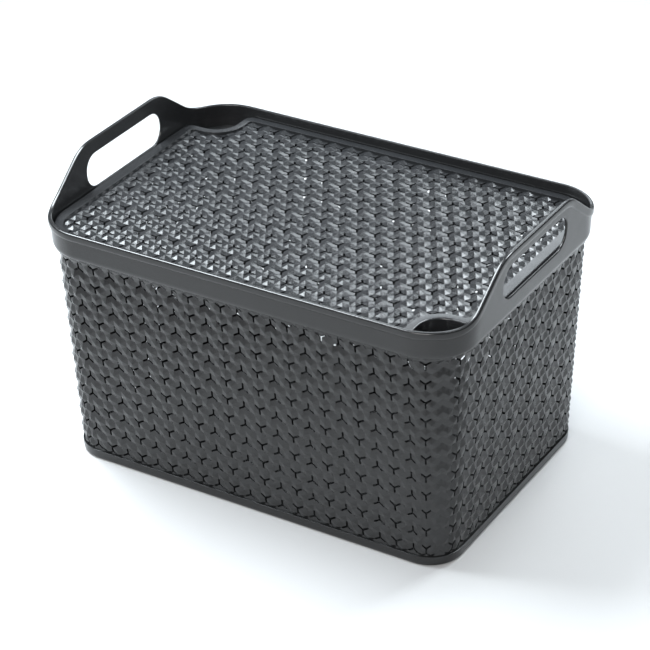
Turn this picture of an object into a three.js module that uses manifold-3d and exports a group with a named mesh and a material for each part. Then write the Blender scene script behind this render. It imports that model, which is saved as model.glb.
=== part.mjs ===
// A lidded storage basket, moulded in charcoal polypropylene. The basket and its lift-off lid are its only two pieces.
// Millimetres, +Z up. The origin is the centre of the base, on the surface that the basket stands on.
// +X runs along the length, towards one hand slot, and +Y towards a long side.
import * as THREE from "three";
import { mergeVertices } from "three/addons/utils/BufferGeometryUtils.js";
import Module from "manifold-3d";

const wasm = await Module();
wasm.setup();

// Plan of the lip, the widest outline. Every other outline lies a constant inset inside it.
const LIP_LENGTH = 400;
const LIP_WIDTH = 276;
const LIP_CORNER_RADIUS = 44;

// Heights above the standing surface.
const FLOOR_TOP = 2.6;
const SHOULDER_BOTTOM = 196; // the walls end here and slope out to the band
const BAND_BOTTOM = 206.5;
const LEDGE = 207.5; // the step inside the band that the lid's skirt rests on
const LIP_MIDDLE = 226; // the height at which the lip measures LIP_LENGTH by LIP_WIDTH
const RIM_TOP = 228;
const HANDLE_TOP = 263;

// Sides.
const DRAFT = 0.0457; // every side leans outwards by this much per millimetre of height
const WALL_INSET = 6; // at SHOULDER_BOTTOM
const WALL_THICKNESS = 2.2;
const BAND_THICKNESS = 2.4;
const LEDGE_WIDTH = 2.9;
const BASE_CHAMFER = 2.4;

// The lip stands out from the band all round and follows the handles.
const LIP_OVERHANG = 1.4;
const LIP_DEPTH = 7.5;

// Side view of a handle, in half-widths from the middle of the basket's end.
const HANDLE_SHOULDER = 58.5; // where the flat top would meet the slope
const HANDLE_FOOT = 104.8; // where the slope would meet the rim
const HANDLE_SHOULDER_RADIUS = 40;
const HANDLE_FOOT_RADIUS = 46;

// Hand slot.
const SLOT_WIDTH = 110;
const SLOT_HEIGHT = 30;
const SLOT_CORNER_RADIUS = 14;
const SLOT_MIDDLE = 235;

// Lid.
const LID_TOP = 220.3;
const LID_PLATE = 2.4;
const LID_SIDE_GAP = 0.7; // between the lid's edge and the band
const LID_REST_GAP = 0.3; // between the skirt and the ledge
const SKIRT_THICKNESS = 2;
const NOTCH_SIZE = 39; // finger notch, along each edge from the lid's corner
const NOTCH_RADIUS = 20;

const CORNER_SEGMENTS = 10;
const CLEAR_OF_SURFACE = 1; // how far a cutting solid runs past the face that it opens
const CUTTER_LENGTH = LIP_LENGTH + 40; // clear of both ends
const PLASTIC = { color: 0x3d4043, roughness: 0.42, metalness: 0 };

// The corner arcs of all outlines share these centres, so an inset changes only their radius.
const CORNER_X = LIP_LENGTH / 2 - LIP_CORNER_RADIUS;
const CORNER_Y = LIP_WIDTH / 2 - LIP_CORNER_RADIUS;

const wallInset = (height) => WALL_INSET + DRAFT * (SHOULDER_BOTTOM - height);
const bandInset = (height) => LIP_OVERHANG + DRAFT * (LIP_MIDDLE - height);
const bandInnerInset = (height) => bandInset(height) + BAND_THICKNESS;

// A closed three.js geometry as a solid for cutting and joining.
function solid(geometry) {
  const bare = geometry.clone();
  bare.deleteAttribute("normal");
  bare.deleteAttribute("uv");
  const merged = mergeVertices(bare, 1e-4);
  return new wasm.Manifold(
    new wasm.Mesh({
      numProp: 3,
      vertProperties: new Float32Array(merged.attributes.position.array),
      triVerts: new Uint32Array(merged.index.array),
    }),
  );
}

// A solid back as a named mesh.
function namedMesh(name, made) {
  const { vertProperties, triVerts } = made.getMesh();
  const geometry = new THREE.BufferGeometry();
  geometry.setAttribute("position", new THREE.BufferAttribute(vertProperties, 3));
  geometry.setIndex(new THREE.BufferAttribute(triVerts, 1));
  geometry.computeVertexNormals();
  const mesh = new THREE.Mesh(geometry, new THREE.MeshStandardMaterial(PLASTIC));
  mesh.name = name;
  return mesh;
}

// A rectangle with rounded corners, centred on the origin.
function roundedRectangle(width, height, radius) {
  const x = width / 2 - radius;
  const y = height / 2 - radius;
  const shape = new THREE.Shape();
  shape.absarc(x, y, radius, 0, Math.PI / 2);
  shape.absarc(-x, y, radius, Math.PI / 2, Math.PI);
  shape.absarc(-x, -y, radius, Math.PI, 1.5 * Math.PI);
  shape.absarc(x, -y, radius, 1.5 * Math.PI, 2 * Math.PI);
  return shape;
}

// A solid with a rounded-rectangle outline at every height. The profile lists [inset, height] upwards.
// It starts as an extrusion with a small corner radius, whose points then move out to the radius of their level.
function stack(profile) {
  const levels = profile.length - 1;
  const small = 1;
  const outline = roundedRectangle(2 * (CORNER_X + small), 2 * (CORNER_Y + small), small);
  const geometry = new THREE.ExtrudeGeometry(outline, {
    depth: levels,
    steps: levels,
    bevelEnabled: false,
    curveSegments: CORNER_SEGMENTS,
  });
  const position = geometry.getAttribute("position");
  for (let i = 0; i < position.count; i++) {
    const [inset, height] = profile[Math.round(position.getZ(i))];
    const centreX = Math.sign(position.getX(i)) * CORNER_X;
    const centreY = Math.sign(position.getY(i)) * CORNER_Y;
    const growth = (LIP_CORNER_RADIUS - inset) / small;
    const x = centreX + growth * (position.getX(i) - centreX);
    const y = centreY + growth * (position.getY(i) - centreY);
    position.setXYZ(i, x, y, height);
  }
  return solid(geometry);
}

// A side view, drawn as (across, height), pushed through the whole length of the basket.
function throughLength(shape) {
  const geometry = new THREE.ExtrudeGeometry(shape, {
    depth: CUTTER_LENGTH,
    bevelEnabled: false,
    curveSegments: CORNER_SEGMENTS,
  });
  geometry.translate(0, 0, -CUTTER_LENGTH / 2);
  const alongX = new THREE.Matrix4().makeBasis(
    new THREE.Vector3(0, 1, 0),
    new THREE.Vector3(0, 0, 1),
    new THREE.Vector3(1, 0, 0),
  );
  geometry.applyMatrix4(alongX);
  return solid(geometry);
}

// Everything under the rim's top edge in side view, with that edge moved inwards by drop.
function underRim(drop) {
  const slope = Math.atan2(HANDLE_TOP - RIM_TOP, HANDLE_FOOT - HANDLE_SHOULDER);
  const shift = drop * Math.tan(slope / 2);
  const shoulderRadius = HANDLE_SHOULDER_RADIUS - drop;
  const footRadius = HANDLE_FOOT_RADIUS + drop;
  const shoulder = HANDLE_SHOULDER - shift - shoulderRadius * Math.tan(slope / 2);
  const foot = HANDLE_FOOT - shift + footRadius * Math.tan(slope / 2);
  const top = HANDLE_TOP - drop;
  const rim = RIM_TOP - drop;
  const far = LIP_WIDTH;
  const up = Math.PI / 2;
  const shape = new THREE.Shape();
  shape.moveTo(-far, SHOULDER_BOTTOM);
  shape.lineTo(far, SHOULDER_BOTTOM);
  shape.lineTo(far, rim);
  shape.absarc(foot, rim + footRadius, footRadius, -up, -up - slope, true);
  shape.absarc(shoulder, top - shoulderRadius, shoulderRadius, up - slope, up);
  shape.absarc(-shoulder, top - shoulderRadius, shoulderRadius, up, up + slope);
  shape.absarc(-foot, rim + footRadius, footRadius, slope - up, -up, true);
  shape.lineTo(-far, rim);
  return throughLength(shape);
}

// The rounded opening through both handles.
function handSlots() {
  const shape = roundedRectangle(SLOT_WIDTH, SLOT_HEIGHT, SLOT_CORNER_RADIUS);
  return throughLength(shape).translate([0, 0, SLOT_MIDDLE]);
}

// Walls, band, lip, ledge, base and both handles: one moulding.
function basket() {
  const lipLow = RIM_TOP - LIP_DEPTH;
  const body = stack([
    [wallInset(0) + BASE_CHAMFER, 0],
    [wallInset(BASE_CHAMFER), BASE_CHAMFER],
    [wallInset(SHOULDER_BOTTOM), SHOULDER_BOTTOM],
    [bandInset(BAND_BOTTOM), BAND_BOTTOM],
    [bandInset(lipLow), lipLow],
  ]);
  const handleBand = stack([
    [bandInset(BAND_BOTTOM), BAND_BOTTOM],
    [bandInset(HANDLE_TOP), HANDLE_TOP],
  ]).intersect(underRim(0));
  const lip = stack([
    [bandInset(lipLow) - LIP_OVERHANG, lipLow],
    [bandInset(HANDLE_TOP) - LIP_OVERHANG, HANDLE_TOP],
  ]).intersect(underRim(0).subtract(underRim(LIP_DEPTH)));
  const aboveHandles = HANDLE_TOP + CLEAR_OF_SURFACE;
  const inside = stack([
    [wallInset(FLOOR_TOP) + WALL_THICKNESS, FLOOR_TOP],
    [bandInnerInset(LEDGE) + LEDGE_WIDTH, LEDGE],
    [bandInnerInset(LEDGE), LEDGE],
    [bandInnerInset(aboveHandles), aboveHandles],
  ]);
  return namedMesh("basket", body.add(handleBand).add(lip).subtract(inside).subtract(handSlots()));
}

// The two finger notches, on opposite corners of the lid, grown by a margin on the lid's side.
function fingerNotches(margin) {
  const edge = LIP_CORNER_RADIUS - bandInnerInset(LID_TOP) - LID_SIDE_GAP;
  const inner = NOTCH_SIZE + margin;
  const size = 2 * inner; // the outer half hangs clear of the lid's corner
  const shape = roundedRectangle(size, size, NOTCH_RADIUS + margin);
  const geometry = new THREE.ExtrudeGeometry(shape, {
    depth: HANDLE_TOP - LEDGE,
    bevelEnabled: false,
    curveSegments: CORNER_SEGMENTS,
  });
  const notch = solid(geometry).translate([CORNER_X + edge, -CORNER_Y - edge, LEDGE - CLEAR_OF_SURFACE]);
  return notch.add(notch.rotate([0, 0, 180]));
}

// The lift-off lid: a plate with a skirt turned down along its whole edge, notches included.
function lid() {
  const bottom = LEDGE + LID_REST_GAP;
  const edgeInset = (height) => bandInnerInset(height) + LID_SIDE_GAP;
  const outside = stack([
    [edgeInset(bottom), bottom],
    [edgeInset(LID_TOP), LID_TOP],
  ]).subtract(fingerNotches(0));
  const plateBottom = LID_TOP - LID_PLATE;
  const underside = stack([
    [edgeInset(bottom) + SKIRT_THICKNESS, bottom - CLEAR_OF_SURFACE],
    [edgeInset(plateBottom) + SKIRT_THICKNESS, plateBottom],
  ]).subtract(fingerNotches(SKIRT_THICKNESS));
  return namedMesh("lid", outside.subtract(underside));
}

const liddedBasket = new THREE.Group();
liddedBasket.add(basket());
liddedBasket.add(lid());

export default liddedBasket;
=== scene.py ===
"""Looks for a lidded storage basket: a moulded basket with two handles, and a lift-off lid.

Metres, +Z up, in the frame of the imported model. The walls and the lid carry one pattern: low pyramids on a
triangular lattice, with three-armed slots through the valleys between them.
"""

import math

import bmesh
import bpy
import numpy as np
from mathutils import Matrix, Vector


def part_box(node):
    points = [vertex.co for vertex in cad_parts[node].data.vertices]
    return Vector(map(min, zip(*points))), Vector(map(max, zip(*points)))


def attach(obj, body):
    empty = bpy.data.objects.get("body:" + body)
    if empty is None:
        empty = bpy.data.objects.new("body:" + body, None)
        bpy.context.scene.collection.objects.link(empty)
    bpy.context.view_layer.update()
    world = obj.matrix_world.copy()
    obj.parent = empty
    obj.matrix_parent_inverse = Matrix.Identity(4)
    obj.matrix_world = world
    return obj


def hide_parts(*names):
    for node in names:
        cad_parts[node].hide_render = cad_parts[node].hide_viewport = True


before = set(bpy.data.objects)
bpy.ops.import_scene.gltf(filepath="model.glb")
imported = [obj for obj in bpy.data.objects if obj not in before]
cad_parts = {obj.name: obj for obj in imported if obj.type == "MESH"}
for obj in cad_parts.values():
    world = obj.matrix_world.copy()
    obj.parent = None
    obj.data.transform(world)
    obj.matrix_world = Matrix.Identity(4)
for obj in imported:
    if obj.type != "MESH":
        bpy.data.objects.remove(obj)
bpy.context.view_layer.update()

MM = 0.001

# The frame's own sizes.
BASKET_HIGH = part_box("basket")[1]
LID_LOW, LID_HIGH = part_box("lid")

# Sides. Every outline is the lip's outline moved inwards, and its inset grows downwards.
DRAFT = 0.0457  # how far the sides lean out for each unit of height
LIP_MIDDLE = 226 * MM
RIM_TOP = 228 * MM
HANDLE_TOP = BASKET_HIGH.z
CORNER_RADIUS = 44 * MM
CORNER_X = BASKET_HIGH.x - DRAFT * (HANDLE_TOP - LIP_MIDDLE) - CORNER_RADIUS
CORNER_Y = BASKET_HIGH.y - DRAFT * (RIM_TOP - LIP_MIDDLE) - CORNER_RADIUS
LIP_OVERHANG = 1.4 * MM
LIP_DEPTH = 7.2 * MM
BAND_THICKNESS = 2.4 * MM
WALL_TOP = 196 * MM
WALL_INSET = 6 * MM  # at WALL_TOP
FLARE_START = 195 * MM  # between these heights the wall curves out to the band
FLARE_END = 208 * MM
PATTERN_TOP = 203 * MM
PATTERN_BOTTOM = 9.2 * MM
LEDGE = 207.5 * MM  # the height of the ledge that the lid rests on
LEDGE_DEPTH = 4.9 * MM
FLOOR_TOP = 2.6 * MM
FOOT_CHAMFER = 2.6 * MM
PROUD = 0.1 * MM  # how far plain surfaces stand over the pattern where they meet it

# Handles, in half-widths from the middle of the basket's end.
HANDLE_SHOULDER = 58.5 * MM
HANDLE_FOOT = 104.8 * MM
SHOULDER_RADIUS = 40 * MM
FOOT_RADIUS = 46 * MM
HAND_SLOT_HALF_WIDTH = 55 * MM
HAND_SLOT_HALF_HEIGHT = 15 * MM
HAND_SLOT_RADIUS = 14 * MM
HAND_SLOT_MIDDLE = 235 * MM
HAND_SLOT_ROUNDING = 1.1 * MM
HAND_SLOT_STRAIGHT_STEPS = 4  # along half of its level edge
HAND_SLOT_TURN = 15  # degrees from point to point round its corners

# Pattern, in lattice steps. A step is the length of one slot arm.
COLUMN = math.sqrt(3) / 2  # the distance between lattice columns
PEAK = 0.32  # heights above the valleys
SADDLE = 0.11
UPPER_JUNCTION = 0.10
LOWER_JUNCTION = -0.05
LOWER_JUNCTION_UNDERSIDE = -0.17
ARM_HALF_WIDTH = 0.145
EDGE_HALF_WIDTH = 0.05  # of the rounded edges between facets
REPEAT_COLUMNS = 6
REPEAT_ROWS = 3
SHEET_THICKNESS = 1.25 * MM

# The walls' lattice runs round the basket from the middle of the front.
WALL_STEP = 5.96 * MM
LOWEST_SLOTS = 14.1 * MM  # up the slope
SLOT_ROWS = 11
QUARTER_COLUMNS = 60
SIDE_COLUMNS = 30  # from the middle of a long side to its corner
CORNER_COLUMNS = 12

# Lid.
LID_TOP = LID_HIGH.z
LID_BOTTOM = LID_LOW.z
LID_STEP_ALONG = 5.762 * MM
LID_STEP_ACROSS = 5.792 * MM
END_BORDER = 9.7 * MM
SIDE_BORDER = 8.1 * MM
NOTCH_BORDER = 7.5 * MM
NOTCH_SIZE = 39 * MM
NOTCH_RADIUS = 20 * MM
NOTCH_MOUTH_RADIUS = 9 * MM
FIELD_RADIUS = 27 * MM
FIELD_MOUTH_RADIUS = 4 * MM
FIELD_OVERLAP = 2 * MM  # how far the pattern runs into the border
FIELD_DEPTH = 1.0 * MM  # from the lid's border down to the tops of the pyramids
BORDER_DEPTH = 4.6 * MM
LID_EDGE_ROUNDING = 1.5 * MM
SKIRT_THICKNESS = 2 * MM

SHARP_DEGREES = 38  # edges that turn by more than this are shaded as creases

# Studio.
CAMERA_PLACE = (0.95254, -1.54082, 1.18996)
CAMERA_AZIMUTH = 31.68  # degrees from -Y towards +X
CAMERA_ELEVATION = 30.665
CAMERA_ROLL = -1.308
CAMERA_LENS = 137.1  # on a sensor 36 wide
FLOOR_HALF_WIDTH = 8
COOL_LIGHT = (0.88, 0.95, 1)
WARM_LIGHT = (1, 0.99, 0.98)

CORNER_ARC = CORNER_RADIUS * math.pi / 2
QUARTER = CORNER_X + CORNER_ARC + CORNER_Y


def wall_inset(z):
    return WALL_INSET + DRAFT * (WALL_TOP - z)


def band_inset(z):
    return LIP_OVERHANG + DRAFT * (LIP_MIDDLE - z)


def crest_inset(z):
    """The inset of the pattern's highest points: the wall's slope, then the curve out to the band."""
    share = np.clip((z - FLARE_START) / (FLARE_END - FLARE_START), 0, 1)
    share = share * share * (3 - 2 * share)
    return wall_inset(z) * (1 - share) + band_inset(z) * share


def outline_point(distance, inset):
    """x and y at a distance along the lip's outline, moved in by inset.

    The distance runs anticlockwise from the middle of the front, along the outline as it is before it moves.
    """
    quarter, run = np.divmod(np.mod(distance, 4 * QUARTER), QUARTER)
    run = np.where(quarter % 2 == 1, QUARTER - run, run)
    turn = np.clip((run - CORNER_X) / CORNER_ARC, 0, 1) * math.pi / 2
    radius = CORNER_RADIUS - inset
    x = np.minimum(run, CORNER_X) + radius * np.sin(turn)
    y = np.maximum(run - CORNER_X - CORNER_ARC, 0) - CORNER_Y - radius * np.cos(turn)
    return np.where(quarter < 2, x, -x), np.where((quarter == 0) | (quarter == 3), y, -y)


def distance_of_column(column):
    """How far along the outline a lattice column is. The columns turn with the corners."""
    quarter, rest = np.divmod(column, QUARTER_COLUMNS)
    backwards = quarter % 2 == 1
    rest = np.where(backwards, QUARTER_COLUMNS - rest, rest)
    stops = [0, SIDE_COLUMNS, SIDE_COLUMNS + CORNER_COLUMNS, QUARTER_COLUMNS]
    run = np.interp(rest, stops, [0, CORNER_X, CORNER_X + CORNER_ARC, QUARTER])
    return quarter * QUARTER + np.where(backwards, QUARTER - run, run)


# ---------------------------------------------------------------- meshes

class Shape:
    """Points and faces of one piece, gathered part by part."""

    def __init__(self):
        self.points = []
        self.faces = []

    def add_points(self, x, y, z):
        """Adds a row of points and gives their numbers."""
        x, y, z = np.broadcast_arrays(x, y, z)
        first = len(self.points)
        self.points += list(zip(x.tolist(), y.tolist(), z.tolist()))
        return list(range(first, len(self.points)))

    def join(self, lower, upper, closed=True):
        """Quads between two rows of points. They face right of the rows' direction, seen from above."""
        count = len(lower) if closed else len(lower) - 1
        for k in range(count):
            after = (k + 1) % len(lower)
            self.faces.append((lower[k], lower[after], upper[after], upper[k]))

    def to_object(self, name):
        mesh = bpy.data.meshes.new(name)
        used, faces = np.unique(np.concatenate(self.faces), return_inverse=True)
        ends = np.cumsum([len(f) for f in self.faces])[:-1]
        points = np.array(self.points)[used]
        mesh.from_pydata(points.tolist(), [], [f.tolist() for f in np.split(faces, ends)])
        thing = bpy.data.objects.new(name, mesh)
        bpy.context.scene.collection.objects.link(thing)
        return thing

    def add_trimmed(self, other, cutter):
        """Adds the part of another closed shape that lies inside a closed cutter."""
        whole, knife = other.to_object("whole"), cutter.to_object("knife")
        cut = whole.modifiers.new("cut", "BOOLEAN")
        cut.operation = "INTERSECT"
        cut.solver = "MANIFOLD"
        cut.object = knife
        mesh = whole.evaluated_get(bpy.context.evaluated_depsgraph_get()).data
        points = np.array([point.co for point in mesh.vertices])
        numbers = self.add_points(*points.T)
        self.faces += [[numbers[k] for k in face.vertices] for face in mesh.polygons]
        for thing in (whole, knife):
            bpy.data.objects.remove(thing)

    def piece(self, name, body, node, material):
        """The finished object, which stands for a CAD node."""
        thing = self.to_object(name)
        thing.data.shade_smooth()
        thing.data.set_sharp_from_angle(angle=math.radians(SHARP_DEGREES))
        thing.data.materials.append(material)
        weighted = thing.modifiers.new("facet_normals", "WEIGHTED_NORMAL")
        weighted.keep_sharp = True
        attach(thing, body)
        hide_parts(node)
        return thing


# ---------------------------------------------------------------- the pattern

def flat(point):
    """The place of a lattice point (column, row) on the flat pattern. Odd columns sit half a step higher."""
    column, row = point
    return np.array([column * COLUMN, row + column % 2 / 2])


def neighbours(point):
    column, row = point
    below = row - 1 + column % 2
    beside = [(column + side, below + up) for side in (-1, 1) for up in (0, 1)]
    return [(column, row - 1), (column, row + 1)] + beside


def lattice_triangles(columns, rows):
    """Every triangle of the lattice between these columns and rows, each anticlockwise."""
    for i in columns:
        for j in rows:
            lean = i % 2
            yield (i, j), (i + 1, j), (i + lean, j + 1)
            yield (i, j + 1), (i + 1 - lean, j), (i + 1, j + 1)


def relief(point, middle):
    """A lattice point's height, as the corner of a triangle with this middle."""
    column = point[0] % REPEAT_COLUMNS
    column = min(column, REPEAT_COLUMNS - column)
    row = point[1] % REPEAT_ROWS
    if (column, row) in ((1, 1), (2, 0), (3, 1)):
        return PEAK
    if (column, row) == (0, 2):
        return SADDLE
    if (column, row) == (3, 0):
        return UPPER_JUNCTION
    if (column, row) == (0, 0):
        across, up = middle - flat(point)
        return LOWER_JUNCTION_UNDERSIDE if up < -abs(across) / 2 else LOWER_JUNCTION
    return 0.0


def moved_corner(before, corner, after, inset_before, inset_after):
    """A triangle's corner once the edge that leads to it and the edge that leaves it have moved inwards."""
    arriving = (corner - before) / np.linalg.norm(corner - before)
    leaving = (after - corner) / np.linalg.norm(after - corner)
    sine = arriving[0] * leaving[1] - arriving[1] * leaving[0]
    return corner + (inset_before * leaving - inset_after * arriving) / sine


class PatternSheet:
    """A patterned sheet with a front and a back: facets, rounded edges between them, and slots cut through.

    has_slot(point) says if a lattice point has its slot, keep(middle) if a triangle belongs to the sheet,
    and name(point) gives two points that meet where the sheet closes on itself the same name.
    """

    def __init__(self, columns, rows, has_slot, keep, name=lambda point: point):
        self.has_slot = has_slot
        self.name = name
        self.places = []  # (across, up, height)
        self.numbers = {}
        self.front = []
        self.back = []
        self.sides = {}  # edge: for each facet there, the edge's two points and the facet's two corners
        self.corners = {}  # lattice point: [(direction, facet corner, the point as its triangle has it)]
        kept = [t for t in lattice_triangles(columns, rows) if keep(sum(map(flat, t)) / 3)]
        for triangle in kept:
            self.add_facet(triangle)
        for sides in self.sides.values():
            self.add_edge(*sides)
        for corners in self.corners.values():
            self.add_corner(corners)

    def slot_at(self, point):
        """1 for a slot with an arm up, -1 for one with an arm down, 0 for none."""
        column, row = point
        if row % REPEAT_ROWS or column % (REPEAT_COLUMNS // 2) or not self.has_slot(self.name(point)):
            return 0
        return 1 if column % REPEAT_COLUMNS == 0 else -1

    def has_arm(self, junction, end):
        upwards = self.slot_at(junction)
        rise = flat(end)[1] - flat(junction)[1]
        return upwards != 0 and rise == (upwards if end[0] == junction[0] else -upwards / 2)

    def arm_to(self, end):
        """The junction of the slot arm that ends at this point, or None."""
        return next((other for other in neighbours(end) if self.has_arm(other, end)), None)

    def vertex(self, key, place, height):
        if key not in self.numbers:
            self.numbers[key] = len(self.places)
            self.places.append((place[0], place[1], height))
        return self.numbers[key]

    def tip(self, end, height):
        """The three vertices round a slot arm's end, anticlockwise. The middle one is the lattice point."""
        start, stop = flat(self.arm_to(end)), flat(end)
        along = (stop - start) / np.linalg.norm(stop - start)
        left = np.array([-along[1], along[0]])
        found = []
        for k, turn in enumerate((-math.pi / 4, 0, math.pi / 4)):
            place = stop + ARM_HALF_WIDTH * ((math.cos(turn) - 1) * along + math.sin(turn) * left)
            found.append(self.vertex(("tip", self.name(end), k), place, height(place)))
        return found

    def add_facet(self, triangle):
        corners = [flat(point) for point in triangle]
        middle = sum(corners) / 3
        heights = [relief(point, middle) for point in triangle]
        slope = np.linalg.solve(
            [corners[1] - corners[0], corners[2] - corners[0]],
            [heights[1] - heights[0], heights[2] - heights[0]],
        )

        def height(place):
            return heights[0] + slope @ (place - corners[0])

        ways = [(triangle[k], triangle[(k + 1) % 3]) for k in range(3)]
        arms = [self.has_arm(a, b) or self.has_arm(b, a) for a, b in ways]
        insets = [ARM_HALF_WIDTH if arm else EDGE_HALF_WIDTH for arm in arms]
        facet = []
        for k in range(3):
            place = moved_corner(corners[k - 1], corners[k], corners[k - 2], insets[k - 1], insets[k])
            facet.append(self.vertex(("facet", triangle, k), place, height(place)))
        self.front.append(facet)
        for k, (a, b) in enumerate(ways):
            a_name, b_name = self.name(a), self.name(b)
            if not arms[k]:
                side = (a_name, b_name, facet[k], facet[(k + 1) % 3])
                self.sides.setdefault(frozenset((a_name, b_name)), []).append(side)
            across, up = middle - corners[k]
            self.corners.setdefault(a_name, []).append((math.atan2(up, across), facet[k], a))
        self.add_back(triangle, facet, arms, height)

    def add_back(self, triangle, facet, arms, height):
        """The same triangle on the back of the sheet, without the rounded edges."""
        face = []
        for k, point in enumerate(triangle):
            if self.slot_at(point):
                face.append(facet[k])
            elif self.arm_to(point) is None:
                place = flat(point)
                face.append(self.vertex(("point", self.name(point)), place, height(place)))
            else:
                right, end, left = self.tip(point, height)
                if arms[k]:
                    face += [end, right, facet[k]]
                elif arms[k - 1]:
                    face += [facet[k], left, end]
                else:
                    face.append(end)
        self.back.append(face)

    def middle_vertex(self, name):
        """The vertex that stands at a lattice point itself."""
        return self.numbers[("tip", name, 1) if ("tip", name, 1) in self.numbers else ("point", name)]

    def add_edge(self, side, other=None):
        """The rounded edge between two facets, and on the back the small triangle where it meets a slot."""
        a, b, a_first, b_first = side
        if other is None:  # the sheet's own edge
            self.front.append([b_first, a_first, self.middle_vertex(a), self.middle_vertex(b)])
            return
        _, _, b_second, a_second = other
        self.front.append([b_first, a_first, a_second, b_second])
        if self.slot_at(a):
            self.back.append([a_first, a_second, self.middle_vertex(b)])
        if self.slot_at(b):
            self.back.append([b_second, b_first, self.middle_vertex(a)])

    def add_corner(self, corners):
        """The small face round a lattice point, which a slot's tip may reach."""
        point = corners[0][2]
        if self.slot_at(point):
            return
        corners.sort()
        junction = self.arm_to(point)
        if junction is not None:
            towards = flat(junction) - flat(point)
            start = math.atan2(towards[1], towards[0])
            corners.sort(key=lambda corner: (corner[0] - start) % (2 * math.pi))
            right, end, left = (self.numbers[("tip", self.name(point), k)] for k in range(3))
            ring = [right] + [number for _, number, _ in corners] + [left]
            self.front += [[end, one, two] for one, two in zip(ring, ring[1:])]
        elif len(corners) < 6:  # on the sheet's own edge
            gaps = [(corners[k][0] - corners[k - 1][0]) % (2 * math.pi) for k in range(len(corners))]
            first = gaps.index(max(gaps)) if len(corners) > 1 else 0
            ring = [number for _, number, _ in corners[first:] + corners[:first]]
            self.front.append([self.middle_vertex(self.name(point))] + ring)
        else:
            self.front.append([number for _, number, _ in corners])

    def add_to(self, shape, place_on):
        """Adds the sheet to a shape. place_on(across, up, height, thickness) gives x, y and z."""
        across, up, height = np.array(self.places).T
        front = shape.add_points(*place_on(across, up, height, 0))
        back = shape.add_points(*place_on(across, up, height, SHEET_THICKNESS))
        shape.faces += [[front[k] for k in face] for face in self.front]
        shape.faces += [[back[k] for k in reversed(face)] for face in self.back]
        on_back = {k for face in self.back for k in face}
        once = {}
        for face in self.front:
            for one, two in zip(face, face[1:] + face[:1]):
                once[frozenset((one, two))] = None if frozenset((one, two)) in once else (one, two)
        for edge in once.values():
            if edge is not None and on_back.issuperset(edge):
                one, two = edge
                shape.faces.append((front[two], front[one], back[one], back[two]))


def wall_sheet():
    """The four walls, as one sheet that closes on itself."""
    columns = 4 * QUARTER_COLUMNS
    last_row = REPEAT_ROWS * (SLOT_ROWS - 1)
    corner_middle = SIDE_COLUMNS + CORNER_COLUMNS // 2

    def has_slot(point):
        column = point[0] % (2 * QUARTER_COLUMNS)
        in_corner = column in (corner_middle, 2 * QUARTER_COLUMNS - corner_middle)
        return 0 <= point[1] <= last_row and not in_corner

    return PatternSheet(
        range(columns),
        range(-2, last_row + 2),
        has_slot,
        keep=lambda middle: True,
        name=lambda point: (point[0] % columns, point[1]),
    )


def place_on_wall(across, up, height, thickness):
    z = (LOWEST_SLOTS + up * WALL_STEP) * math.cos(math.atan(DRAFT))
    inset = crest_inset(z) + (PEAK - height) * WALL_STEP + thickness
    x, y = outline_point(distance_of_column(across / COLUMN), inset)
    return x, y, z


# ---------------------------------------------------------------- the basket's plain parts

def handle_profile(y):
    """The height of the rim's top at this y: level over the hand slot, then down a slope to the rim."""
    y = np.abs(y)
    slope = math.atan2(HANDLE_TOP - RIM_TOP, HANDLE_FOOT - HANDLE_SHOULDER)
    level_end = HANDLE_SHOULDER - SHOULDER_RADIUS * math.tan(slope / 2)
    foot_end = HANDLE_FOOT + FOOT_RADIUS * math.tan(slope / 2)
    shoulder_end = level_end + SHOULDER_RADIUS * math.sin(slope)
    foot_start = foot_end - FOOT_RADIUS * math.sin(slope)
    shoulder = HANDLE_TOP - SHOULDER_RADIUS
    shoulder = shoulder + np.sqrt(np.maximum(SHOULDER_RADIUS**2 - (y - level_end) ** 2, 0))
    foot = RIM_TOP + FOOT_RADIUS
    foot = foot - np.sqrt(np.maximum(FOOT_RADIUS**2 - (foot_end - y) ** 2, 0))
    straight = HANDLE_TOP - (y - HANDLE_SHOULDER) * math.tan(slope)
    return np.select(
        [y <= level_end, y <= shoulder_end, y <= foot_start, y <= foot_end],
        [HANDLE_TOP, shoulder, straight, foot],
        RIM_TOP,
    )


def rim_height(distance):
    return handle_profile(outline_point(distance, 0 * distance)[1])


def rounding(radius, steps=3):
    """A quarter circle as (distance to go, distance gone), from the first surface to the second."""
    turns = [math.pi / 2 * k / steps for k in range(steps + 1)]
    return [(radius * (1 - math.sin(a)), radius * (1 - math.cos(a))) for a in turns]


def hand_slot_ring(growth):
    """The upper half of a hand slot's outline: distances along the band, and heights, from its middle."""
    straight = HAND_SLOT_HALF_WIDTH - HAND_SLOT_RADIUS
    steps = HAND_SLOT_STRAIGHT_STEPS
    turns = np.radians(np.arange(HAND_SLOT_TURN, 91, HAND_SLOT_TURN))
    radius = HAND_SLOT_RADIUS + growth
    away = np.concatenate([straight * np.arange(steps + 1) / steps, straight + radius * np.sin(turns)])
    rise = np.concatenate([np.full(steps + 1, radius), radius * np.cos(turns)])
    rise += HAND_SLOT_HALF_HEIGHT - HAND_SLOT_RADIUS
    return np.concatenate([-away[:0:-1], away]), np.concatenate([rise[:0:-1], rise])


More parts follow.
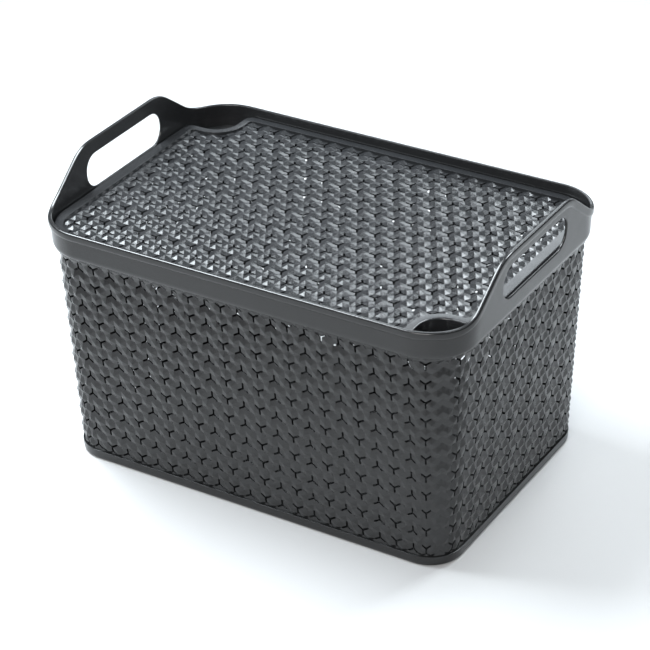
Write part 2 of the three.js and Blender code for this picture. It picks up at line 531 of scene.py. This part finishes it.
class Rim:
    """The band above the walls with its lip, ledge and handles, as rings of points round the basket."""

    def __init__(self, shape):
        self.shape = shape
        slot_away, _ = hand_slot_ring(HAND_SLOT_ROUNDING)
        self.slot_width = len(slot_away)
        outside = slot_away[-1]
        # Distances from the middle of an end to the middle of a side.
        quarter = np.concatenate(
            [
                np.linspace(outside, CORNER_Y, 13)[1:],
                CORNER_Y + np.linspace(0, CORNER_ARC, 25)[1:],
                CORNER_Y + CORNER_ARC + np.linspace(0, CORNER_X, 9)[1:-1],
            ]
        )
        half = np.concatenate([slot_away, quarter, [QUARTER], 2 * QUARTER - quarter[::-1]])
        self.distances = np.concatenate([half + QUARTER, half + 3 * QUARTER])
        self.slot_starts = [0, len(half)]

    def level_ring(self, z, inset):
        x, y = outline_point(self.distances, inset)
        return self.shape.add_points(x, y, z)

    def top_ring(self, depth, out):
        """A ring that follows the rim's top at this depth below it, standing out from the band."""
        step = 0.2 * MM
        rise = (rim_height(self.distances + step) - rim_height(self.distances - step)) / (2 * step)
        length = np.sqrt(1 + rise * rise)
        z = rim_height(self.distances) - depth / length
        x, y = outline_point(self.distances + depth * rise / length, band_inset(z) - out)
        return self.shape.add_points(x, y, z)

    def slot_rings(self, growth, inset_of):
        """For each hand slot, the rows of points under and over it."""
        away, rise = hand_slot_ring(growth)
        found = []
        for start in self.slot_starts:
            middle = self.distances[start] - hand_slot_ring(HAND_SLOT_ROUNDING)[0][0]
            rows = []
            for z in (HAND_SLOT_MIDDLE - rise, HAND_SLOT_MIDDLE + rise):
                x, y = outline_point(middle + away, inset_of(z))
                rows.append(self.shape.add_points(x, y, z))
            found.append(rows)
        return found

    def join_round_slots(self, lower, upper, slots):
        """Joins two rings, leaving the hand slots open."""
        last = self.slot_width - 1
        for start, (under, over) in zip(self.slot_starts, slots):
            across = slice(start, start + self.slot_width)
            self.shape.join(lower[across], under, closed=False)
            self.shape.join(over, upper[across], closed=False)
            before, after = start - 1, start + self.slot_width
            self.shape.faces.append(
                (lower[before], lower[start], under[0], over[0], upper[start], upper[before])
            )
            self.shape.faces.append(
                (lower[after - 1], lower[after], upper[after], upper[after - 1], over[last], under[last])
            )
            stop = start + len(lower) // 2 - 1
            self.shape.join(lower[after : stop + 1], upper[after : stop + 1], closed=False)

    def join_slot(self, outer, inner):
        """The inside of the hand slots between two of their rings."""
        for (under, over), (next_under, next_over) in zip(outer, inner):
            loop = under + over[::-1]
            next_loop = next_under + next_over[::-1]
            self.shape.join(loop, next_loop)


def add_rim(shape):
    rim = Rim(shape)

    def inner_inset(z):
        return band_inset(z) + BAND_THICKNESS

    # Up the outside, from behind the pattern to the foot of the band.
    rings = [
        rim.level_ring(PATTERN_TOP - 0.3 * MM, crest_inset(PATTERN_TOP) + 2.3 * MM),
        rim.level_ring(PATTERN_TOP, crest_inset(PATTERN_TOP) + 0.3 * MM),
        rim.level_ring(PATTERN_TOP + 0.3 * MM, crest_inset(PATTERN_TOP) - PROUD),
    ]
    for z in (PATTERN_TOP + 1.6 * MM, PATTERN_TOP + 3.2 * MM):
        rings.append(rim.level_ring(z, crest_inset(z) - PROUD))
    outer_foot = rim.level_ring(FLARE_END, band_inset(FLARE_END))
    rings.append(outer_foot)
    for lower, upper in zip(rings, rings[1:]):
        shape.join(lower, upper)

    # The lip, over the top and down to the inside of the band.
    lip = [
        (LIP_DEPTH, 0),
        (LIP_DEPTH - 0.3 * MM, 0.25 * LIP_OVERHANG),
        (LIP_DEPTH - 0.9 * MM, 0.65 * LIP_OVERHANG),
        (LIP_DEPTH - 2 * MM, 0.95 * LIP_OVERHANG),
        (LIP_DEPTH / 2, LIP_OVERHANG),
        (1.5 * MM, LIP_OVERHANG),
        (0.7 * MM, 0.8 * LIP_OVERHANG),
        (0.2 * MM, 0.4 * LIP_OVERHANG),
        (0, -0.1 * BAND_THICKNESS),
        (0, -0.6 * BAND_THICKNESS),
        (0.3 * MM, -0.87 * BAND_THICKNESS),
        (1 * MM, -BAND_THICKNESS),
    ]
    lip_rings = [rim.top_ring(depth, out) for depth, out in lip]
    for lower, upper in zip(lip_rings, lip_rings[1:]):
        shape.join(lower, upper)

    # The ledge that the lid rests on, and down the inside to behind the pattern.
    ledge_start = inner_inset(LEDGE)
    ledge_end = ledge_start + LEDGE_DEPTH
    inside = [
        (LEDGE + 1 * MM, ledge_start),
        (LEDGE + 0.3 * MM, ledge_start + 0.3 * MM),
        (LEDGE, ledge_start + 1 * MM),
        (LEDGE, ledge_end - 0.8 * MM),
        (LEDGE - 0.25 * MM, ledge_end - 0.2 * MM),
        (LEDGE - 0.9 * MM, ledge_end),
        (PATTERN_TOP + 0.8 * MM, ledge_end + 0.2 * MM),
        (PATTERN_TOP, ledge_end - 0.6 * MM),
    ]
    inside_rings = [rim.level_ring(z, inset) for z, inset in inside]
    for lower, upper in zip(inside_rings, inside_rings[1:]):
        shape.join(lower, upper)
    shape.join(inside_rings[-1], rings[0])

    # The hand slots, with rounded edges on both faces of the band.
    outer_slots = []
    inner_slots = []
    for growth, depth in rounding(HAND_SLOT_ROUNDING):
        outer_slots.append(rim.slot_rings(growth, lambda z, d=depth: band_inset(z) + d))
        inner_slots.append(rim.slot_rings(growth, lambda z, d=depth: inner_inset(z) - d))
    rim.join_round_slots(outer_foot, lip_rings[0], outer_slots[0])
    rim.join_round_slots(lip_rings[-1], inside_rings[0], [(over, under) for under, over in inner_slots[0]])
    through = outer_slots + inner_slots[::-1]
    for outer, inner in zip(through, through[1:]):
        rim.join_slot(outer, inner)


def add_base(shape):
    """The plain strip under the pattern, the floor and the foot that the basket stands on."""
    corner = np.linspace(0, CORNER_ARC, 17)
    corner_starts = [k * QUARTER + (CORNER_Y if k % 2 else CORNER_X) for k in range(4)]
    distances = np.concatenate([start + corner for start in corner_starts])

    def ring(z, extra):
        x, y = outline_point(distances, crest_inset(z) + extra)
        return shape.add_points(x, y, z)

    # Heights, and insets from the pattern's crest: from the floor up behind the pattern, down the strip
    # outside it, and round the foot to the underside.
    profile = [
        (FLOOR_TOP, 7 * MM),
        (FLOOR_TOP + 0.4 * MM, 5.2 * MM),
        (FLOOR_TOP + 1.8 * MM, 4.3 * MM),
        (PATTERN_BOTTOM - 1 * MM, 4 * MM),
        (PATTERN_BOTTOM - 0.4 * MM, 3.6 * MM),
        (PATTERN_BOTTOM, 2.8 * MM),
        (PATTERN_BOTTOM, 0.4 * MM),
        (PATTERN_BOTTOM - 0.2 * MM, 0),
        (PATTERN_BOTTOM - 0.6 * MM, -PROUD),
        (FOOT_CHAMFER, -PROUD),
        (1.2 * MM, 0.2 * MM),
        (0.4 * MM, 0.9 * MM),
        (0, 2.3 * MM),
        (0, 9 * MM),
        (0.3 * MM, 9.6 * MM),
        (0.8 * MM, 10 * MM),
    ]
    rings = [ring(z, extra) for z, extra in profile]
    for inner, outer in zip(rings, rings[1:]):
        shape.join(outer, inner)
    shape.faces.append(rings[0])
    shape.faces.append(rings[-1][::-1])


# ---------------------------------------------------------------- the lid's plain parts

def lid_loop(inset, notch_inset, radius, mouth_radius, steps=8):
    """The lid's outline as x and y, moved in by inset along its sides and by notch_inset at its notches."""
    half_length, half_width = LID_HIGH.x - inset, LID_HIGH.y - inset
    return rounded_loop(half_length, half_width, notch_inset, radius, mouth_radius, steps)


def rounded_loop(half_length, half_width, notch_inset, radius, mouth_radius, steps=8):
    """A rectangle with rounded corners and with the lid's two finger notches, as x and y."""
    notch_x = LID_HIGH.x - NOTCH_SIZE - notch_inset
    notch_y = LID_HIGH.y - NOTCH_SIZE - notch_inset
    half = [
        ((half_length, half_width), radius),
        ((-notch_x, half_width), mouth_radius),
        ((-notch_x, notch_y), NOTCH_RADIUS + notch_inset),
        ((-half_length, notch_y), mouth_radius),
    ]
    corners = half + [((-x, -y), r) for (x, y), r in half]
    points = []
    for k, (corner, r) in enumerate(corners):
        corner = np.array(corner)
        arriving = corner - np.array(corners[k - 1][0])
        leaving = np.array(corners[(k + 1) % len(corners)][0]) - corner
        arriving /= np.linalg.norm(arriving)
        leaving /= np.linalg.norm(leaving)
        centre = corner + r * (leaving - arriving)
        for turn in np.linspace(0, math.pi / 2, steps + 1):
            points.append(centre - r * math.cos(turn) * leaving + r * math.sin(turn) * arriving)
    return np.array(points).T


def field_distance(x, y):
    """How far outside the lid's patterned field a place is. Negative inside it."""
    sides = [
        abs(x) - (LID_HIGH.x - END_BORDER - FIELD_RADIUS),
        abs(y) - (LID_HIGH.y - SIDE_BORDER - FIELD_RADIUS),
    ]
    outside = math.hypot(max(sides[0], 0), max(sides[1], 0)) + min(max(sides), 0) - FIELD_RADIUS
    sign = 1 if x > 0 else -1  # the notches are at -X +Y and at +X -Y
    radius = NOTCH_RADIUS + NOTCH_BORDER
    into = [
        radius - (sign * x - (LID_HIGH.x - NOTCH_SIZE - NOTCH_BORDER)),
        radius - (-sign * y - (LID_HIGH.y - NOTCH_SIZE - NOTCH_BORDER)),
    ]
    notch = math.hypot(max(into[0], 0), max(into[1], 0)) + min(max(into), 0) - radius
    return max(outside, -notch)


def place_on_lid(across, up, height, thickness):
    z = LID_TOP - FIELD_DEPTH - (PEAK - height) * LID_STEP_ALONG - thickness
    return -up * LID_STEP_ALONG, across * LID_STEP_ACROSS, z


def field_outline(growth):
    """The lid's patterned field, grown by this much."""
    return rounded_loop(
        LID_HIGH.x - END_BORDER + growth,
        LID_HIGH.y - SIDE_BORDER + growth,
        NOTCH_BORDER - growth,
        FIELD_RADIUS + growth,
        FIELD_MOUTH_RADIUS + growth,
    )


def add_lid_field(shape):
    """The lid's pattern, which runs a little way into its border. Its up is towards -X."""
    def distance(place):
        x, y, _ = place_on_lid(place[0], place[1], 0, 0)
        return field_distance(x, y)

    columns = math.ceil(LID_HIGH.y / LID_STEP_ACROSS / COLUMN) + 2
    rows = math.ceil(LID_HIGH.x / LID_STEP_ALONG) + 2
    sheet = PatternSheet(
        range(-columns, columns),
        range(-rows, rows),
        has_slot=lambda point: distance(flat(point)) < LID_STEP_ALONG,
        keep=lambda middle: distance(middle) < 3 * LID_STEP_ALONG,
    )
    whole = Shape()
    sheet.add_to(whole, place_on_lid)
    knife = Shape()
    x, y = field_outline(FIELD_OVERLAP)
    rings = [knife.add_points(x, y, z) for z in (LID_BOTTOM, LID_TOP)]
    knife.join(*rings)
    knife.faces += [rings[0][::-1], rings[1]]
    shape.add_trimmed(whole, knife)


def add_lid_border(shape):
    """The plain border round the field, and the skirt under it."""
    def ring(drop, inset, notch_inset=None):
        notch_inset = inset if notch_inset is None else notch_inset
        radius = CORNER_RADIUS - (CORNER_X + CORNER_RADIUS - LID_HIGH.x) - inset
        x, y = lid_loop(inset, notch_inset, radius, max(NOTCH_MOUTH_RADIUS - inset, 1 * MM))
        return shape.add_points(x, y, LID_TOP - drop)

    def field_ring(drop, growth):
        x, y = field_outline(growth)
        return shape.add_points(x, y, LID_TOP - drop)

    # Up from inside the field, over the outer edge and down.
    rings = [
        field_ring(BORDER_DEPTH, -0.15 * MM),
        field_ring(0.5 * MM, 0),
        field_ring(0.12 * MM, 0.15 * MM),
        field_ring(0, 0.6 * MM),
    ]
    rings += [ring(gone, to_go) for to_go, gone in rounding(LID_EDGE_ROUNDING, 4)]

    # The skirt's foot and its inside, up to the underside.
    height = LID_TOP - LID_BOTTOM
    rings += [
        ring(height - 0.5 * MM, DRAFT * height),
        ring(height, DRAFT * height + 0.5 * MM),
        ring(height, DRAFT * height + SKIRT_THICKNESS - 0.4 * MM),
        ring(height - 0.4 * MM, DRAFT * height + SKIRT_THICKNESS),
        ring(BORDER_DEPTH + 1 * MM, SKIRT_THICKNESS + 0.3 * MM),
        ring(BORDER_DEPTH, SKIRT_THICKNESS + 1.3 * MM),
    ]
    for one, two in zip(rings, rings[1:]):
        shape.join(two, one)
    shape.join(rings[0], rings[-1])


# ---------------------------------------------------------------- materials

def moulded_plastic(name, tone):
    """Satin charcoal plastic of this colour, with a fine moulded grain, and a painted highlight that makes
    convex edges slightly lighter.
    """
    material = bpy.data.materials.new(name)
    material.use_nodes = True
    nodes, links = material.node_tree.nodes, material.node_tree.links
    shader = nodes["Principled BSDF"]
    place = nodes.new("ShaderNodeTexCoord").outputs["Object"]

    def noise(scale, detail, roughness=0.55):
        node = nodes.new("ShaderNodeTexNoise")
        node.inputs["Scale"].default_value = scale
        node.inputs["Detail"].default_value = detail
        node.inputs["Roughness"].default_value = roughness
        links.new(place, node.inputs["Vector"])
        return node.outputs["Fac"]

    def spread(value, low, high):
        """A noise value stretched to run from low to high."""
        node = nodes.new("ShaderNodeMapRange")
        node.inputs["From Min"].default_value = 0.3
        node.inputs["From Max"].default_value = 0.7
        node.inputs["To Min"].default_value = low
        node.inputs["To Max"].default_value = high
        links.new(value, node.inputs["Value"])
        return node.outputs["Result"]

    # Colour: slow cloudiness from the moulding, and a painted highlight that lightens convex edges a little.
    colour = nodes.new("ShaderNodeValToRGB")
    colour.color_ramp.elements[0].position = 0.3
    colour.color_ramp.elements[1].position = 0.7
    colour.color_ramp.elements[0].color = [c * 0.88 for c in tone] + [1]
    colour.color_ramp.elements[1].color = [c * 1.12 for c in tone] + [1]
    links.new(noise(14, 3), colour.inputs["Fac"])
    # Painted highlight: where Pointiness marks a convex edge, the colour is lightened towards 1.6 times the
    # tone.
    painted_edge_highlight = nodes.new("ShaderNodeMapRange")
    painted_edge_highlight.inputs["From Min"].default_value = 0.52
    painted_edge_highlight.inputs["From Max"].default_value = 0.62
    painted_edge_highlight.inputs["To Max"].default_value = 0.35
    links.new(nodes.new("ShaderNodeNewGeometry").outputs["Pointiness"], painted_edge_highlight.inputs["Value"])
    edge_highlight_mix = nodes.new("ShaderNodeMix")
    edge_highlight_mix.data_type = "RGBA"
    edge_highlight_mix.inputs["B"].default_value = [c * 1.6 for c in tone] + [1]
    links.new(painted_edge_highlight.outputs["Result"], edge_highlight_mix.inputs["Factor"])
    links.new(colour.outputs["Color"], edge_highlight_mix.inputs["A"])
    links.new(edge_highlight_mix.outputs["Result"], shader.inputs["Base Color"])

    # Sheen: a little uneven, as moulded polypropylene is.
    links.new(spread(noise(60, 4), 0.2, 0.26), shader.inputs["Roughness"])
    shader.inputs["IOR"].default_value = 1.49

    # Bump: the mould's fine grain, on faint ripples from cooling.
    grain = nodes.new("ShaderNodeBump")
    grain.inputs["Strength"].default_value = 0.12
    grain.inputs["Distance"].default_value = 0.00012
    links.new(noise(2600, 2, 0.7), grain.inputs["Height"])
    ripple = nodes.new("ShaderNodeBump")
    ripple.inputs["Strength"].default_value = 0.25
    ripple.inputs["Distance"].default_value = 0.0006
    links.new(noise(38, 2), ripple.inputs["Height"])
    links.new(grain.outputs["Normal"], ripple.inputs["Normal"])
    links.new(ripple.outputs["Normal"], shader.inputs["Normal"])
    return material


def floor_material():
    """A plain pale grey, slightly cloudy."""
    material = bpy.data.materials.new("studio_floor")
    material.use_nodes = True
    nodes, links = material.node_tree.nodes, material.node_tree.links
    shader = nodes["Principled BSDF"]
    shader.inputs["Roughness"].default_value = 0.6
    cloud = nodes.new("ShaderNodeTexNoise")
    cloud.inputs["Scale"].default_value = 3
    ramp = nodes.new("ShaderNodeValToRGB")
    ramp.color_ramp.elements[0].color = (0.5, 0.5, 0.5, 1)
    ramp.color_ramp.elements[1].color = (0.54, 0.54, 0.54, 1)
    links.new(cloud.outputs["Fac"], ramp.inputs["Fac"])
    links.new(ramp.outputs["Color"], shader.inputs["Base Color"])
    return material


# ---------------------------------------------------------------- studio

def add_camera():
    azimuth, elevation, roll = map(math.radians, (CAMERA_AZIMUTH, CAMERA_ELEVATION, CAMERA_ROLL))
    back = Vector(
        (
            math.sin(azimuth) * math.cos(elevation),
            -math.cos(azimuth) * math.cos(elevation),
            math.sin(elevation),
        )
    )
    level_right = Vector((0, 0, 1)).cross(back).normalized()
    level_up = back.cross(level_right)
    right = level_right * math.cos(roll) + level_up * math.sin(roll)
    up = level_up * math.cos(roll) - level_right * math.sin(roll)
    turn = Matrix((right, up, back)).transposed()
    data = bpy.data.cameras.new("camera")
    data.lens = CAMERA_LENS
    data.sensor_width = 36
    data.clip_end = 50
    camera = bpy.data.objects.new("camera", data)
    camera.matrix_world = Matrix.Translation(CAMERA_PLACE) @ turn.to_4x4()
    bpy.context.scene.collection.objects.link(camera)
    bpy.context.scene.camera = camera


def add_softbox(name, place, width, height, power, colour):
    """A lamp that points at the middle of the lid."""
    data = bpy.data.lights.new(name, "AREA")
    data.shape = "RECTANGLE"
    data.size = width
    data.size_y = height
    data.energy = power
    data.color = colour
    lamp = bpy.data.objects.new(name, data)
    lamp.location = place
    lamp.rotation_mode = "QUATERNION"
    towards = Vector((0, 0, LID_TOP)) - Vector(place)
    lamp.rotation_quaternion = towards.to_track_quat("-Z", "Y")
    bpy.context.scene.collection.objects.link(lamp)


def add_floor():
    mesh = bpy.data.meshes.new("floor")
    bm = bmesh.new()
    bmesh.ops.create_grid(bm, x_segments=8, y_segments=8, size=FLOOR_HALF_WIDTH)
    bm.to_mesh(mesh)
    bm.free()
    mesh.materials.append(floor_material())
    floor = bpy.data.objects.new("floor", mesh)
    bpy.context.scene.collection.objects.link(floor)


def add_lights():
    world = bpy.data.worlds.new("studio")
    world.use_nodes = True
    background = world.node_tree.nodes["Background"]
    background.inputs["Color"].default_value = (0.9, 0.95, 1, 1)
    background.inputs["Strength"].default_value = 0.3
    bpy.context.scene.world = world
    bpy.context.scene.view_settings.view_transform = "Standard"

    add_softbox("over_left", (-0.63, -0.08, 1.22), width=0.75, height=0.6, power=42, colour=COOL_LIGHT)
    add_softbox("over_back", (0.3, 0.68, 1.22), width=0.5, height=0.5, power=19, colour=COOL_LIGHT)
    add_softbox("low_back", (-0.62, 1.8, 1.2), width=1, height=0.6, power=8, colour=COOL_LIGHT)
    add_softbox("front", (0.5, -2.2, 1.6), width=1.4, height=1.2, power=52, colour=WARM_LIGHT)


# ---------------------------------------------------------------- assembly

# One plastic for both parts. The basket's tone is darker than the lid's as painted shade, because its walls
# get less light than the lid's top.
basket_plastic = moulded_plastic("basket_plastic", (0.0105, 0.0107, 0.0111))
lid_plastic = moulded_plastic("lid_plastic", (0.014, 0.0146, 0.0157))

basket = Shape()
wall_sheet().add_to(basket, place_on_wall)
add_rim(basket)
add_base(basket)
basket.piece("basket_moulding", "basket", "basket", basket_plastic)

lid = Shape()
add_lid_field(lid)
add_lid_border(lid)
lid.piece("lid_moulding", "lid", "lid", lid_plastic)

add_camera()
add_floor()
add_lights()
